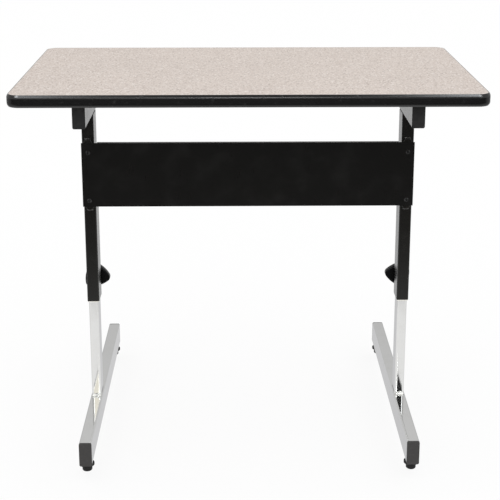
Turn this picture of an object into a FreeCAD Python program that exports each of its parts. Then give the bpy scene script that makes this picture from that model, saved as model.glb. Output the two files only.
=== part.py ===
import FreeCAD, Part
import math
import os

# Height-adjustable utility table: a laminated worktop on two telescopic legs.
# Millimetres, +Z up. -Y is the modesty panel's side, +Y the seated user's side.
# The origin lies on the floor, midway between the two feet and along their length.

Vector = FreeCAD.Vector
X_AXIS = Vector(1, 0, 0)
Y_AXIS = Vector(0, 1, 0)
Z_AXIS = Vector(0, 0, 1)
SIDES = {"left": -1, "right": 1}
ENDS = {"front": -1, "rear": 1}
SAME_PLACE = Part.Precision.confusion()

# Worktop
TOP_WIDTH = 914.0
TOP_DEPTH = 559.0
TOP_CORNER_RADIUS = 26.0
TOP_SETBACK = 8.0
LOWEST_WORKTOP_HEIGHT = 589.0
RAISED_BY = 172.0
LAMINATE_THICKNESS = 1.2
CORE_THICKNESS = 22.0
BACKER_THICKNESS = 0.8

# Edge band with a tongue in the core's groove
BAND_THICKNESS = 4.0
BAND_LIP = 1.2
BAND_FLAT_HEIGHT = 10.0
BAND_TONGUE_DEPTH = 9.0
BAND_TONGUE_THICKNESS = 2.4
BAND_SEAT_GAP = 0.05
GROOVE_END_GAP = 1.0

# Rectangular steel tube shared by the arms, the sleeves and the feet
TUBE_WIDTH = 25.0
TUBE_DEPTH = 50.0
TUBE_WALL = 1.5
TUBE_BORE_RADIUS = 2.0

# Legs
LEG_INSET = 132.0
COLUMN_Y = -72.0
ARM_INSET = 40.0
FOOT_LENGTH = 630.0
SLEEVE_FOOT_GAP = 44.0
POST_WALL = 1.5
POST_BORE_RADIUS = 3.0
WELD_LEG = 6.0
WELD_END_RADIUS = 2.5

# Nylon guides between sleeve and post
GUIDE_WALL = 0.9
GUIDE_HEIGHT = 20.0
GUIDE_LIP_THICKNESS = 2.0
GUIDE_LIP_INSET = 0.5
GUIDE_CORNER_RELIEF = 1.0
SLIDE_CLEARANCE = 0.1
SEAT_CLEARANCE = 0.05
PLUG_COLLAR_HEIGHT = 14.0
PLUG_STEM_LENGTH = 18.0
PLUG_STOP_GAP = 3.0

# End caps of arms and feet
ARM_CAP_THICKNESS = 3.0
FOOT_CAP_THICKNESS = 4.0
CAP_STEM_LENGTH = 10.0
CAP_STEM_WALL = 2.0
CAP_STEM_BORE_RADIUS = 1.0
CAP_EDGE_RADIUS = 1.2

# Modesty panel and its brackets
PANEL_HEIGHT = 134.0
PANEL_DROP = 58.0
PANEL_THICKNESS = 1.5
PANEL_OVERHANG = 1.0
PANEL_FLANGE_DEPTH = 8.0
PANEL_FLANGE_GAP = 6.0
BRACKET_WIDTH = 18.0
BRACKET_THICKNESS = 4.5
BRACKET_REACH = 8.0
BRACKET_EDGE_RADIUS = 1.2

# Screws
PANEL_SCREW_TOP_INSET = 20.0
PANEL_SCREW_BOTTOM_INSET = 13.0
PANEL_SCREW_RADIUS = 2.5
PANEL_SCREW_HEAD_RADIUS = 4.5
PANEL_SCREW_HEAD_HEIGHT = 2.6
PANEL_SCREW_POINT = 0.6
PANEL_SCREW_END_GAP = 0.5
WOOD_SCREW_CAP_GAP = 27.0
WOOD_SCREW_RADIUS = 2.0
WOOD_SCREW_HEAD_RADIUS = 4.5
WOOD_SCREW_HEAD_HEIGHT = 3.0
WOOD_SCREW_POINT = 4.0
WOOD_SCREW_COVER = 8.0
SCREW_HEAD_CHAMFER = 1.3
SCREW_ACCESS_CLEARANCE = 2.0
SCREW_HOLE_CLEARANCE = 0.4
THREAD_FIT = 0.05
DRIVE_WIDTH = 1.2
DRIVE_DEPTH = 1.6
DRIVE_RIM = 1.7

# Clamp knob, screw, pad and nut
CLAMP_ABOVE_GUIDE = 13.0
CLAMP_SCREW_RADIUS = 4.0
CLAMP_NUT_WALL = 3.0
CLAMP_NUT_LENGTH = 7.0
CLAMP_PAD_LENGTH = 3.0
CLAMP_PAD_RELIEF = 0.35
CLAMP_PIN_RADIUS = 1.5
CLAMP_PIN_LENGTH = 4.0
KNOB_GAP = 3.0
KNOB_HUB_WALL = 7.0
KNOB_HUB_LENGTH = 5.0
KNOB_THICKNESS = 16.0
KNOB_RADIUS = 29.5
KNOB_LOBE_RADIUS = 9.5
KNOB_SIDE_BOW = 3.0
KNOB_EDGE_RADIUS = 3.0
KNOB_CROWN_WALL = 5.8
KNOB_DISH_RADIUS = 10.0
KNOB_DISH_DEPTH = 1.2
KNOB_LOBE_ANGLE = {"left": -12.0, "right": 174.0}

# Levelling glides
GLIDE_CAP_GAP = 12.0
GLIDE_RADIUS = 10.0
GLIDE_EDGE_RADIUS = 3.0
GLIDE_BASE_HEIGHT = 12.0
GLIDE_FLANGE_RADIUS = 14.5
GLIDE_FLANGE_HEIGHT = 5.0
GLIDE_FLANGE_EDGE_RADIUS = 1.5
GLIDE_FLOOR = 4.0
GLIDE_NUT_WALL = 3.0
GLIDE_NUT_HEIGHT = 9.0
STUD_RADIUS = 4.0
STUD_TOP_GAP = 16.5
STUD_COLLAR_WALL = 2.5
STUD_COLLAR_HEIGHT = 2.6
STUD_COLLAR_GAP = 0.4

# Worktop levels and outline that follow from the sizes above
worktop_height = LOWEST_WORKTOP_HEIGHT + RAISED_BY
top_thickness = LAMINATE_THICKNESS + CORE_THICKNESS + BACKER_THICKNESS
top_underside = worktop_height - top_thickness
core_bottom = top_underside + BACKER_THICKNESS
core_width = TOP_WIDTH - 2 * BAND_THICKNESS
core_depth = TOP_DEPTH - 2 * BAND_THICKNESS
core_radius = TOP_CORNER_RADIUS - BAND_THICKNESS
tongue_low = BACKER_THICKNESS + CORE_THICKNESS / 2 - BAND_TONGUE_THICKNESS / 2
tongue_high = tongue_low + BAND_TONGUE_THICKNESS
leg_spacing = TOP_WIDTH - 2 * LEG_INSET
wood_screw_grip = CORE_THICKNESS - WOOD_SCREW_COVER

# Tubes, posts and levels of the legs
glide_height = GLIDE_BASE_HEIGHT + GLIDE_FLANGE_HEIGHT
foot_bottom = glide_height + STUD_COLLAR_HEIGHT + STUD_COLLAR_GAP
foot_top = foot_bottom + TUBE_DEPTH
arm_bottom = top_underside - TUBE_DEPTH
sleeve_bottom = foot_top + SLEEVE_FOOT_GAP + RAISED_BY
tube_radius = TUBE_BORE_RADIUS + TUBE_WALL
bore_width = TUBE_WIDTH - 2 * TUBE_WALL
bore_depth = TUBE_DEPTH - 2 * TUBE_WALL
post_radius = POST_BORE_RADIUS + POST_WALL
post_width = bore_width - 2 * GUIDE_WALL - 2 * SLIDE_CLEARANCE
post_depth = bore_depth - 2 * GUIDE_WALL - 2 * SLIDE_CLEARANCE
post_top = arm_bottom - RAISED_BY - PLUG_STOP_GAP - PLUG_COLLAR_HEIGHT
sleeve_front_y = COLUMN_Y - TUBE_DEPTH / 2
sleeve_rear_y = COLUMN_Y + TUBE_DEPTH / 2

# Panel and clamp places
panel_top = arm_bottom - PANEL_DROP
panel_bottom = panel_top - PANEL_HEIGHT
panel_front_y = sleeve_front_y - BRACKET_THICKNESS - PANEL_THICKNESS
panel_screw_grip = BRACKET_THICKNESS - PANEL_SCREW_END_GAP
clamp_z = sleeve_bottom + GUIDE_HEIGHT + CLAMP_ABOVE_GUIDE
pad_rear_y = COLUMN_Y + post_depth / 2 + CLAMP_PAD_LENGTH
knob_front_y = sleeve_rear_y + CLAMP_NUT_LENGTH + KNOB_GAP
knob_socket = KNOB_HUB_LENGTH + KNOB_THICKNESS - KNOB_DISH_DEPTH - KNOB_CROWN_WALL


def leg_x(side):
    """X of a leg's middle plane."""
    return SIDES[side] * leg_spacing / 2


def foot_end_y(end):
    """Y of the outer face of a foot's end cap."""
    return ENDS[end] * FOOT_LENGTH / 2


def arm_end_y(end):
    """Y of the outer face of an arm's end cap."""
    return TOP_SETBACK + ENDS[end] * (TOP_DEPTH / 2 - ARM_INSET)


def glide_y(end):
    """Y of a glide's axis."""
    return foot_end_y(end) - ENDS[end] * (FOOT_CAP_THICKNESS + CAP_STEM_LENGTH + GLIDE_CAP_GAP)


def screw_rows():
    """Y of the worktop screws along an arm."""
    reach = TOP_DEPTH / 2 - ARM_INSET - ARM_CAP_THICKNESS - CAP_STEM_LENGTH - WOOD_SCREW_CAP_GAP
    return [TOP_SETBACK + step * reach for step in (-1, 0, 1)]


def panel_screw_levels():
    """Z of the two screws at each end of the modesty panel."""
    return [panel_top - PANEL_SCREW_TOP_INSET, panel_bottom + PANEL_SCREW_BOTTOM_INSET]


def polar(radius, degrees, u_axis, v_axis):
    """Vector of a length at an angle from u_axis towards v_axis."""
    angle = math.radians(degrees)
    return u_axis * (radius * math.cos(angle)) + v_axis * (radius * math.sin(angle))


def line(start, end):
    """Straight edge."""
    return Part.LineSegment(start, end).toShape()


def arc(start, middle, end):
    """Round edge through three points."""
    return Part.Arc(start, middle, end).toShape()


def crown(along, across):
    """Middle of an arc that leaves a tangent: how far along it and how far from it.

    The arc ends at along and across from the point where it leaves the tangent.
    """
    radius = (along ** 2 + across ** 2) / (2 * across)
    half_turn = math.atan2(along, radius - across) / 2
    return radius * math.sin(half_turn), radius * (1 - math.cos(half_turn))


def rounded_face(centre, u_axis, v_axis, size_u, size_v, radius):
    """Rectangle with round corners about a centre."""
    arcs = []
    for quadrant, (sign_u, sign_v) in enumerate(((1, 1), (-1, 1), (-1, -1), (1, -1))):
        corner = centre + u_axis * (sign_u * (size_u / 2 - radius))
        corner = corner + v_axis * (sign_v * (size_v / 2 - radius))
        turns = [90 * quadrant + part for part in (0, 45, 90)]
        arcs.append([corner + polar(radius, turn, u_axis, v_axis) for turn in turns])
    edges = []
    for step, (start, middle, end) in enumerate(arcs):
        following = arcs[(step + 1) % len(arcs)][0]
        edges.append(arc(start, middle, end))
        if end.distanceToPoint(following) > SAME_PLACE:
            edges.append(line(end, following))
    return Part.Face(Part.Wire(edges))


def upright(x, y, bottom, top, size_x, size_y, radius):
    """Vertical bar with round corners."""
    face = rounded_face(Vector(x, y, bottom), X_AXIS, Y_AXIS, size_x, size_y, radius)
    return face.extrude(Z_AXIS * (top - bottom))


def lengthwise(x, z, start_y, end_y, size_x, size_z, radius):
    """Bar along Y with round corners."""
    face = rounded_face(Vector(x, start_y, z), X_AXIS, Z_AXIS, size_x, size_z, radius)
    return face.extrude(Y_AXIS * (end_y - start_y))


def turned(outline, base, direction):
    """Solid of revolution from (radius, height) points, standing on base along direction."""
    points = [Vector(radius, 0, height) for radius, height in outline]
    face = Part.Face(Part.makePolygon(points + points[:1]))
    return placed(face.revolve(Vector(), Z_AXIS, 360), base, direction)


def placed(shape, base, direction):
    """Shape modelled along +Z, moved to base and turned to direction."""
    moved = shape.copy()
    moved.Placement = FreeCAD.Placement(base, FreeCAD.Rotation(Z_AXIS, direction))
    return moved


def cylinder(radius, length, base, direction):
    """Round bar or drilled hole."""
    return Part.makeCylinder(radius, length, base, direction)


def hexagon_bar(flats, length, base, direction):
    """Six-sided bar, measured across its flats."""
    corner_radius = flats / math.sqrt(3)
    corners = [polar(corner_radius, 60 * step, X_AXIS, Y_AXIS) for step in range(6)]
    face = Part.Face(Part.makePolygon(corners + corners[:1]))
    return placed(face.extrude(Z_AXIS * length), base, direction)


def edges_at(shape, axis, level):
    """Edges that lie in the plane at a level along an axis."""
    def lies_there(edge):
        return all(abs(vertex.Point.dot(axis) - level) < SAME_PLACE for vertex in edge.Vertexes)

    return [edge for edge in shape.Edges if lies_there(edge)]


def whole(solids):
    """One solid from touching solids."""
    return solids[0].multiFuse(solids[1:]).removeSplitter()


def band_sweep(outline):
    """Section of (outward, height) edges carried round the core's edge.

    outline is a function that returns the section's edges for a placing function.
    """
    solids = []
    for quadrant, (sign_x, sign_y) in enumerate(((1, 1), (-1, 1), (-1, -1), (1, -1))):
        corner_x = sign_x * (core_width / 2 - core_radius)
        corner_y = TOP_SETBACK + sign_y * (core_depth / 2 - core_radius)
        corner = Vector(corner_x, corner_y, top_underside)
        start = section_face(outline, corner, 90 * quadrant)
        end = section_face(outline, corner, 90 * quadrant + 90)
        travel = polar(1, 90 * quadrant + 180, X_AXIS, Y_AXIS)
        straight = core_width if quadrant % 2 == 0 else core_depth
        solids.append(start.revolve(corner, Z_AXIS, 90))
        solids.append(end.extrude(travel * (straight - 2 * core_radius)))
    return whole(solids)


def section_face(outline, corner, degrees):
    """Upright section of the edge band at one end of a corner."""
    outward = polar(1, degrees, X_AXIS, Y_AXIS)

    def place(reach, height):
        return corner + outward * (core_radius + reach) + Z_AXIS * height

    return Part.Face(Part.Wire(outline(place)))


def band_outline(place):
    """Edges of the band's section: a face with rounded shoulders and a tongue."""
    shoulder = (top_thickness - BAND_FLAT_HEIGHT) / 2
    rise, inset = crown(shoulder, BAND_THICKNESS - BAND_LIP)
    foot = place(BAND_SEAT_GAP, 0)
    lower_lip = place(BAND_LIP, 0)
    lower_shoulder = place(BAND_THICKNESS, shoulder)
    upper_shoulder = place(BAND_THICKNESS, top_thickness - shoulder)
    upper_lip = place(BAND_LIP, top_thickness)
    head = place(BAND_SEAT_GAP, top_thickness)
    lower_middle = place(BAND_THICKNESS - inset, shoulder - rise)
    upper_middle = place(BAND_THICKNESS - inset, top_thickness - shoulder + rise)
    tongue = [place(BAND_SEAT_GAP, tongue_high), place(-BAND_TONGUE_DEPTH, tongue_high)]
    tongue += [place(-BAND_TONGUE_DEPTH, tongue_low), place(BAND_SEAT_GAP, tongue_low)]
    edges = [line(foot, lower_lip), arc(lower_lip, lower_middle, lower_shoulder)]
    edges += [line(lower_shoulder, upper_shoulder), arc(upper_shoulder, upper_middle, upper_lip)]
    edges += [line(upper_lip, head), line(head, tongue[0])]
    edges += [line(start, end) for start, end in zip(tongue, tongue[1:])]
    edges.append(line(tongue[-1], foot))
    return edges


def groove_outline(place):
    """Edges of the groove in the core's edge, a little deeper than the tongue."""
    inner = -BAND_TONGUE_DEPTH - GROOVE_END_GAP
    corners = [place(inner, tongue_low), place(BAND_THICKNESS, tongue_low)]
    corners += [place(BAND_THICKNESS, tongue_high), place(inner, tongue_high)]
    return [line(start, end) for start, end in zip(corners, corners[1:] + corners[:1])]


def top_sheet(bottom, thickness):
    """Sheet of the worktop with the core's outline."""
    return upright(0, TOP_SETBACK, bottom, bottom + thickness, core_width, core_depth, core_radius)


def worktop_screw_holes(radius, length):
    """Drillings upwards from the worktop's underside at each screw."""
    places = [(leg_x(side), y) for side in SIDES for y in screw_rows()]
    return [cylinder(radius, length, Vector(x, y, top_underside), Z_AXIS) for x, y in places]


def make_worktop():
    """Core, laminate, backer and edge band."""
    thread = WOOD_SCREW_RADIUS + THREAD_FIT
    reach = BACKER_THICKNESS + wood_screw_grip + THREAD_FIT
    core = top_sheet(core_bottom, CORE_THICKNESS)
    core = core.cut([band_sweep(groove_outline)] + worktop_screw_holes(thread, reach))
    backer = top_sheet(top_underside, BACKER_THICKNESS)
    backer = backer.cut(worktop_screw_holes(thread, BACKER_THICKNESS))
    laminate = top_sheet(core_bottom + CORE_THICKNESS, LAMINATE_THICKNESS)
    return {
        "tabletop_core": core,
        "tabletop_backer": backer,
        "tabletop_laminate": laminate,
        "edge_band": band_sweep(band_outline),
    }


def cross_drive(head_radius, head_height):
    """Cross recess cut into a screw's head, modelled along +Z."""
    span = 2 * (head_radius - DRIVE_RIM)
    bottom = head_height - DRIVE_DEPTH
    first = Part.makeBox(span, DRIVE_WIDTH, DRIVE_DEPTH, Vector(-span / 2, -DRIVE_WIDTH / 2, bottom))
    second = Part.makeBox(DRIVE_WIDTH, span, DRIVE_DEPTH, Vector(-DRIVE_WIDTH / 2, -span / 2, bottom))
    return first.fuse(second)


def screw(head_radius, head_height, shank_radius, shank_length, point, base, direction):
    """Pan-head screw: its head starts at base and rises along direction, its shank goes the other way."""
    outline = [(0, -shank_length), (shank_radius, point - shank_length), (shank_radius, 0), (head_radius, 0)]
    outline.append((head_radius, head_height - SCREW_HEAD_CHAMFER))
    outline += [(head_radius - SCREW_HEAD_CHAMFER, head_height), (0, head_height)]
    body = turned(outline, Vector(), Z_AXIS).cut(cross_drive(head_radius, head_height))
    return placed(body, base, direction)


def make_worktop_screws():
    """Wood screws that hold the arms to the worktop, heads inside the arms."""
    seat = top_underside - TUBE_WALL
    shank = TUBE_WALL + BACKER_THICKNESS + wood_screw_grip
    solids = []
    for side in SIDES:
        for y in screw_rows():
            base = Vector(leg_x(side), y, seat)
            solids.append(screw(WOOD_SCREW_HEAD_RADIUS, WOOD_SCREW_HEAD_HEIGHT, WOOD_SCREW_RADIUS,
                                shank, WOOD_SCREW_POINT, base, -Z_AXIS))
    return {"tabletop_screws": Part.makeCompound(solids)}


def lengthwise_tube(x, z, start_y, end_y):
    """Length of the shared steel tube along Y."""
    outer = lengthwise(x, z, start_y, end_y, TUBE_WIDTH, TUBE_DEPTH, tube_radius)
    return outer.cut(lengthwise(x, z, start_y, end_y, bore_width, bore_depth, TUBE_BORE_RADIUS))


def end_cap(x, z, face_y, outward, thickness):
    """Plastic cap that closes a tube along Y, with a hollow stem inside the tube."""
    seat_y = face_y - outward * thickness
    stem_y = seat_y - outward * CAP_STEM_LENGTH
    face = lengthwise(x, z, seat_y, face_y, TUBE_WIDTH, TUBE_DEPTH, tube_radius)
    face = face.makeFillet(CAP_EDGE_RADIUS, edges_at(face, Y_AXIS, face_y))
    stem_width = bore_width - 2 * SEAT_CLEARANCE
    stem_depth = bore_depth - 2 * SEAT_CLEARANCE
    stem = lengthwise(x, z, stem_y, seat_y, stem_width, stem_depth, TUBE_BORE_RADIUS)
    hollow = lengthwise(x, z, stem_y, seat_y, stem_width - 2 * CAP_STEM_WALL,
                        stem_depth - 2 * CAP_STEM_WALL, CAP_STEM_BORE_RADIUS)
    return whole([face, stem.cut(hollow)])


def make_arm(side):
    """Top arm with its screw holes and end caps."""
    x = leg_x(side)
    z = arm_bottom + TUBE_DEPTH / 2
    hole = WOOD_SCREW_RADIUS + SCREW_HOLE_CLEARANCE
    access = WOOD_SCREW_HEAD_RADIUS + SCREW_ACCESS_CLEARANCE
    start_y = arm_end_y("front") + ARM_CAP_THICKNESS
    tube = lengthwise_tube(x, z, start_y, arm_end_y("rear") - ARM_CAP_THICKNESS)
    for y in screw_rows():
        tube = tube.cut(cylinder(hole, TUBE_WALL, Vector(x, y, top_underside - TUBE_WALL), Z_AXIS))
        tube = tube.cut(cylinder(access, TUBE_WALL, Vector(x, y, arm_bottom), Z_AXIS))
    nodes = {f"{side}_top_arm": tube}
    for end, outward in ENDS.items():
        nodes[f"{side}_arm_{end}_cap"] = end_cap(x, z, arm_end_y(end), outward, ARM_CAP_THICKNESS)
    return nodes


def make_sleeve(side):
    """Outer column with its lower nylon guide."""
    x = leg_x(side)
    outer = upright(x, COLUMN_Y, sleeve_bottom, arm_bottom, TUBE_WIDTH, TUBE_DEPTH, tube_radius)
    bore = upright(x, COLUMN_Y, sleeve_bottom, arm_bottom, bore_width, bore_depth, TUBE_BORE_RADIUS)
    hole = cylinder(CLAMP_SCREW_RADIUS + THREAD_FIT, TUBE_DEPTH / 2, Vector(x, COLUMN_Y, clamp_z), Y_AXIS)
    guide_top = sleeve_bottom + GUIDE_HEIGHT
    guide_bottom = sleeve_bottom - GUIDE_LIP_THICKNESS
    liner = upright(x, COLUMN_Y, sleeve_bottom, guide_top, bore_width - 2 * SEAT_CLEARANCE,
                    bore_depth - 2 * SEAT_CLEARANCE, TUBE_BORE_RADIUS + SEAT_CLEARANCE)
    lip = upright(x, COLUMN_Y, guide_bottom, sleeve_bottom, TUBE_WIDTH - 2 * GUIDE_LIP_INSET,
                  TUBE_DEPTH - 2 * GUIDE_LIP_INSET, tube_radius - GUIDE_LIP_INSET)
    passage = upright(x, COLUMN_Y, guide_bottom, guide_top, post_width + 2 * SLIDE_CLEARANCE,
                      post_depth + 2 * SLIDE_CLEARANCE, post_radius - GUIDE_CORNER_RELIEF)
    return {
        f"{side}_sleeve": outer.cut([bore, hole]),
        f"{side}_sleeve_guide": whole([liner, lip]).cut(passage),
    }


def make_panel_bracket(side):
    """Round-ended strip welded to the front of a sleeve, tapped for the panel's screws."""
    x = leg_x(side)
    front_y = sleeve_front_y - BRACKET_THICKNESS
    height = PANEL_HEIGHT + 2 * BRACKET_REACH
    centre = Vector(x, front_y, (panel_top + panel_bottom) / 2)
    strip = rounded_face(centre, X_AXIS, Z_AXIS, BRACKET_WIDTH, height, BRACKET_WIDTH / 2)
    strip = strip.extrude(Y_AXIS * BRACKET_THICKNESS)
    strip = strip.makeFillet(BRACKET_EDGE_RADIUS, edges_at(strip, Y_AXIS, front_y))
    for z in panel_screw_levels():
        depth = panel_screw_grip + THREAD_FIT
        strip = strip.cut(cylinder(PANEL_SCREW_RADIUS + THREAD_FIT, depth, Vector(x, front_y, z), Y_AXIS))
    return {f"{side}_panel_bracket": strip}


def make_modesty_panel():
    """Sheet-metal panel with folded top and bottom edges between the sleeves, and its screws."""
    width = leg_spacing + TUBE_WIDTH + 2 * PANEL_OVERHANG
    sheet_corner = Vector(-width / 2, panel_front_y, panel_bottom)
    panel = Part.makeBox(width, PANEL_THICKNESS, PANEL_HEIGHT, sheet_corner)
    flange_width = leg_spacing - TUBE_WIDTH - 2 * PANEL_FLANGE_GAP
    flange_reach = PANEL_THICKNESS + PANEL_FLANGE_DEPTH
    for level in (panel_bottom, panel_top - PANEL_THICKNESS):
        flange_corner = Vector(-flange_width / 2, panel_front_y, level)
        panel = panel.fuse(Part.makeBox(flange_width, flange_reach, PANEL_THICKNESS, flange_corner))
    panel = panel.removeSplitter()
    screws = []
    for side in SIDES:
        for z in panel_screw_levels():
            face = Vector(leg_x(side), panel_front_y, z)
            hole = PANEL_SCREW_RADIUS + SCREW_HOLE_CLEARANCE
            panel = panel.cut(cylinder(hole, PANEL_THICKNESS, face, Y_AXIS))
            screws.append(screw(PANEL_SCREW_HEAD_RADIUS, PANEL_SCREW_HEAD_HEIGHT, PANEL_SCREW_RADIUS,
                                PANEL_THICKNESS + panel_screw_grip, PANEL_SCREW_POINT, face, -Y_AXIS))
    return {"modesty_panel": panel, "panel_screws": Part.makeCompound(screws)}


def knob_face(centre, lobe_angle):
    """Three-lobed outline with gently bowed sides, in the XZ plane."""
    reach = KNOB_RADIUS - KNOB_LOBE_RADIUS
    inner = reach / 2 + KNOB_SIDE_BOW
    offset = (reach ** 2 - inner ** 2) / (2 * KNOB_SIDE_BOW)
    lobes = []
    for step in range(3):
        angle = lobe_angle + 120 * step
        lobe = polar(reach, angle, X_AXIS, Z_AXIS)
        tip = lobe + polar(KNOB_LOBE_RADIUS, angle, X_AXIS, Z_AXIS)
        joins = []
        for turn in (-60, 60):
            away = lobe + polar(offset, angle + turn, X_AXIS, Z_AXIS)
            joins.append(lobe + away * (KNOB_LOBE_RADIUS / away.Length))
        side = polar(inner + KNOB_LOBE_RADIUS, angle + 60, X_AXIS, Z_AXIS)
        lobes.append((joins[0], tip, joins[1], side))
    edges = []
    for step, (start, tip, end, side) in enumerate(lobes):
        following = lobes[(step + 1) % 3][0]
        edges.append(arc(centre + start, centre + tip, centre + end))
        edges.append(arc(centre + end, centre + side, centre + following))
    return Part.Face(Part.Wire(edges))


def make_clamp(side):
    """Height clamp: weld nut on the sleeve, screw with a nylon pad, and a hand knob."""
    x = leg_x(side)
    thread = CLAMP_SCREW_RADIUS + THREAD_FIT
    nut_base = Vector(x, sleeve_rear_y, clamp_z)
    nut = hexagon_bar(2 * (CLAMP_SCREW_RADIUS + CLAMP_NUT_WALL), CLAMP_NUT_LENGTH, nut_base, Y_AXIS)
    nut = nut.cut(cylinder(thread, CLAMP_NUT_LENGTH, nut_base, Y_AXIS))
    pad_base = Vector(x, pad_rear_y - CLAMP_PAD_LENGTH, clamp_z)
    pad_end = Vector(x, pad_rear_y, clamp_z)
    pad = cylinder(CLAMP_SCREW_RADIUS - CLAMP_PAD_RELIEF, CLAMP_PAD_LENGTH, pad_base, Y_AXIS)
    pad = whole([pad, cylinder(CLAMP_PIN_RADIUS, CLAMP_PIN_LENGTH, pad_end, Y_AXIS)])
    hub_base = Vector(x, knob_front_y, clamp_z)
    body_y = knob_front_y + KNOB_HUB_LENGTH
    rod_length = knob_front_y + knob_socket - pad_rear_y
    rod = cylinder(CLAMP_SCREW_RADIUS, rod_length, pad_end, Y_AXIS)
    rod = rod.cut(cylinder(CLAMP_PIN_RADIUS + THREAD_FIT, CLAMP_PIN_LENGTH + THREAD_FIT, pad_end, Y_AXIS))
    grip = knob_face(Vector(x, body_y, clamp_z), KNOB_LOBE_ANGLE[side]).extrude(Y_AXIS * KNOB_THICKNESS)
    rim = edges_at(grip, Y_AXIS, body_y) + edges_at(grip, Y_AXIS, body_y + KNOB_THICKNESS)
    grip = grip.makeFillet(KNOB_EDGE_RADIUS, rim)
    hub = cylinder(CLAMP_SCREW_RADIUS + KNOB_HUB_WALL, KNOB_HUB_LENGTH, hub_base, Y_AXIS)
    dish_base = Vector(x, body_y + KNOB_THICKNESS - KNOB_DISH_DEPTH, clamp_z)
    dish = cylinder(KNOB_DISH_RADIUS, KNOB_DISH_DEPTH, dish_base, Y_AXIS)
    socket = cylinder(thread, knob_socket, hub_base, Y_AXIS)
    return {
        f"{side}_clamp_nut": nut,
        f"{side}_clamp_pad": pad,
        f"{side}_clamp_screw": rod,
        f"{side}_clamp_knob": whole([grip, hub]).cut([socket, dish]),
    }


def make_post(side):
    """Inner column standing on the foot, with the nylon plug that guides its top in the sleeve."""
    x = leg_x(side)
    hollow_width = post_width - 2 * POST_WALL
    hollow_depth = post_depth - 2 * POST_WALL
    post = upright(x, COLUMN_Y, foot_top, post_top, post_width, post_depth, post_radius)
    post = post.cut(upright(x, COLUMN_Y, foot_top, post_top, hollow_width, hollow_depth, POST_BORE_RADIUS))
    collar = upright(x, COLUMN_Y, post_top, post_top + PLUG_COLLAR_HEIGHT, bore_width - 2 * SLIDE_CLEARANCE,
                     bore_depth - 2 * SLIDE_CLEARANCE, TUBE_BORE_RADIUS + GUIDE_CORNER_RELIEF)
    stem = upright(x, COLUMN_Y, post_top - PLUG_STEM_LENGTH, post_top, hollow_width - 2 * SEAT_CLEARANCE,
                   hollow_depth - 2 * SEAT_CLEARANCE, POST_BORE_RADIUS)
    return {f"{side}_post": post, f"{side}_post_plug": whole([collar, stem])}


def make_post_welds(side):
    """Rounded weld beads in the corners between the foot and the front and rear of the post."""
    x = leg_x(side)
    length = TUBE_WIDTH - 2 * tube_radius
    ends = (x - length / 2, x + length / 2)
    beads = []
    for outward in ENDS.values():
        root = Vector(ends[0], COLUMN_Y + outward * post_depth / 2, foot_top)
        high, middle, low = (root + polar(WELD_LEG, turn, Y_AXIS * outward, Z_AXIS) for turn in (90, 45, 0))
        face = Part.Face(Part.Wire([line(root, high), arc(high, middle, low), line(low, root)]))
        bead = face.extrude(X_AXIS * length)
        rims = [edge for end in ends for edge in edges_at(bead, X_AXIS, end)]
        rims = [edge for edge in rims if isinstance(edge.Curve, Part.Circle)]
        beads.append(bead.makeFillet(WELD_END_RADIUS, rims))
    return {f"{side}_post_welds": Part.makeCompound(beads)}


def make_foot(side):
    """Floor tube with its end caps and the nuts that hold the glides."""
    x = leg_x(side)
    z = foot_bottom + TUBE_DEPTH / 2
    start_y = foot_end_y("front") + FOOT_CAP_THICKNESS
    tube = lengthwise_tube(x, z, start_y, foot_end_y("rear") - FOOT_CAP_THICKNESS)
    nodes = {}
    nuts = []
    nut_bottom = foot_bottom + TUBE_WALL
    for end, outward in ENDS.items():
        hole_base = Vector(x, glide_y(end), foot_bottom)
        tube = tube.cut(cylinder(STUD_RADIUS + SCREW_HOLE_CLEARANCE, TUBE_WALL, hole_base, Z_AXIS))
        base = Vector(x, glide_y(end), nut_bottom)
        nut = hexagon_bar(2 * (STUD_RADIUS + GLIDE_NUT_WALL), GLIDE_NUT_HEIGHT, base, Z_AXIS)
        nuts.append(nut.cut(cylinder(STUD_RADIUS + THREAD_FIT, GLIDE_NUT_HEIGHT, base, Z_AXIS)))
        nodes[f"{side}_foot_{end}_cap"] = end_cap(x, z, foot_end_y(end), outward, FOOT_CAP_THICKNESS)
    nodes[f"{side}_foot"] = tube
    nodes[f"{side}_glide_nuts"] = Part.makeCompound(nuts)
    return nodes


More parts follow.
